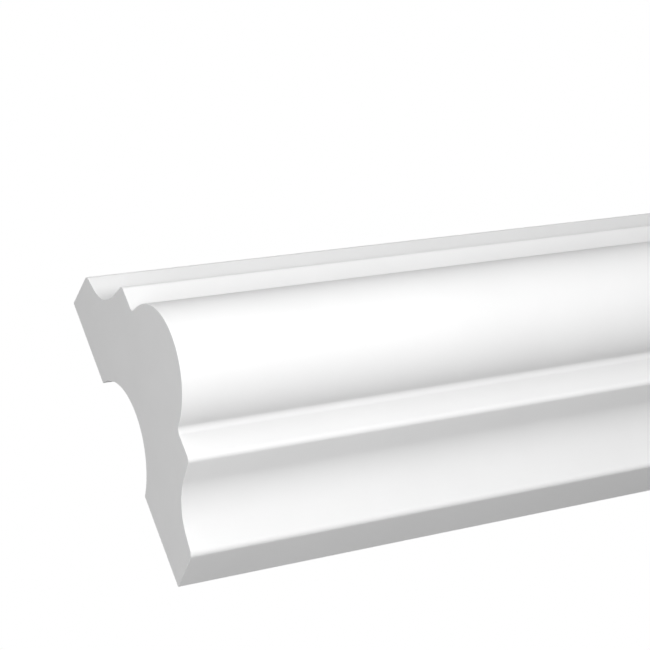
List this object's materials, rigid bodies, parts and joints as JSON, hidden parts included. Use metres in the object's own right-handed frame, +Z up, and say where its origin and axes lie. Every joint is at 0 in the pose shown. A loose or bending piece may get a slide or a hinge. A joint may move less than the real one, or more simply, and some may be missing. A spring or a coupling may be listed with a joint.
{
  "type": "panel moulding",
  "caption": "Stretch of wall panel moulding: a half round between flat fillets and coves, on a flat back with a round relief groove, cut square at the ends.",
  "frame": {"origin": "on the back plane that lies against the wall, in the middle of the lower flat land and halfway along the moulding", "axes": "+X along the moulding, +Y from the back into the wall, so that the moulded face looks towards -Y, +Z up the wall"},
  "size_m": [0.12, 0.027, 0.05],
  "materials": {
    "white_moulding": "smooth primed white, ready to paint"
  },
  "bodies": {
    "root": {"panel_moulding": "white_moulding"}
  },
  "joints": []
}
